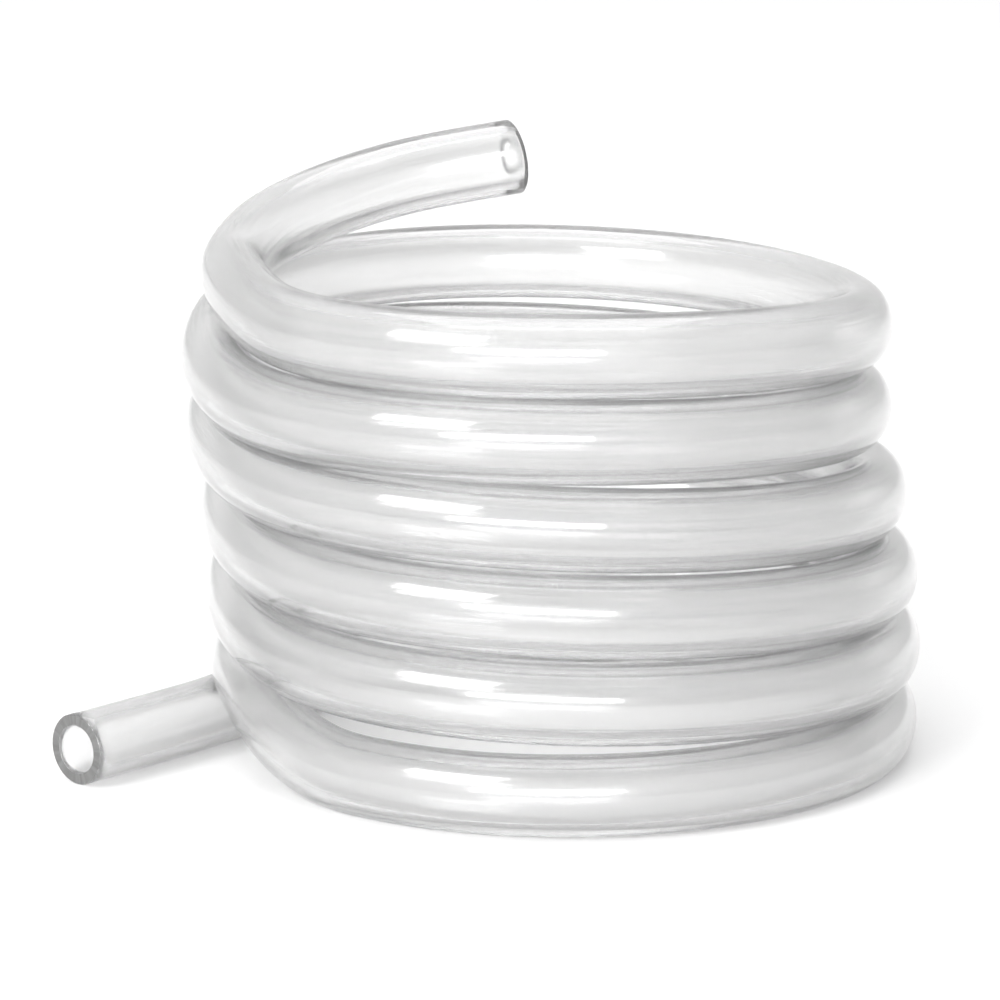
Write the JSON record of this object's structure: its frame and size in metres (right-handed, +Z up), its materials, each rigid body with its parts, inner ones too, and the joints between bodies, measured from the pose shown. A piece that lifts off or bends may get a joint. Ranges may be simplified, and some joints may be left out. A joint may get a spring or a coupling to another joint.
{
  "type": "coiled clear hose",
  "caption": "Free-standing coil of clear flexible hose, one open end rising across the top, the other lying out along the floor.",
  "frame": {"origin": "centre of the whole part's footprint, on the floor it stands on", "axes": "+Z up along the coil's axis, +X from the lower open end's side across the coil, +Y away from the side that the lower end points to"},
  "size_m": [0.234, 0.1964, 0.1622],
  "materials": {
    "clear_hose": "clear soft PVC, glossy outside, slightly hazy, with duller knife-cut ends"
  },
  "bodies": {
    "root": {"coil": "clear_hose", "lower_end": "clear_hose", "upper_end": "clear_hose"}
  },
  "joints": []
}
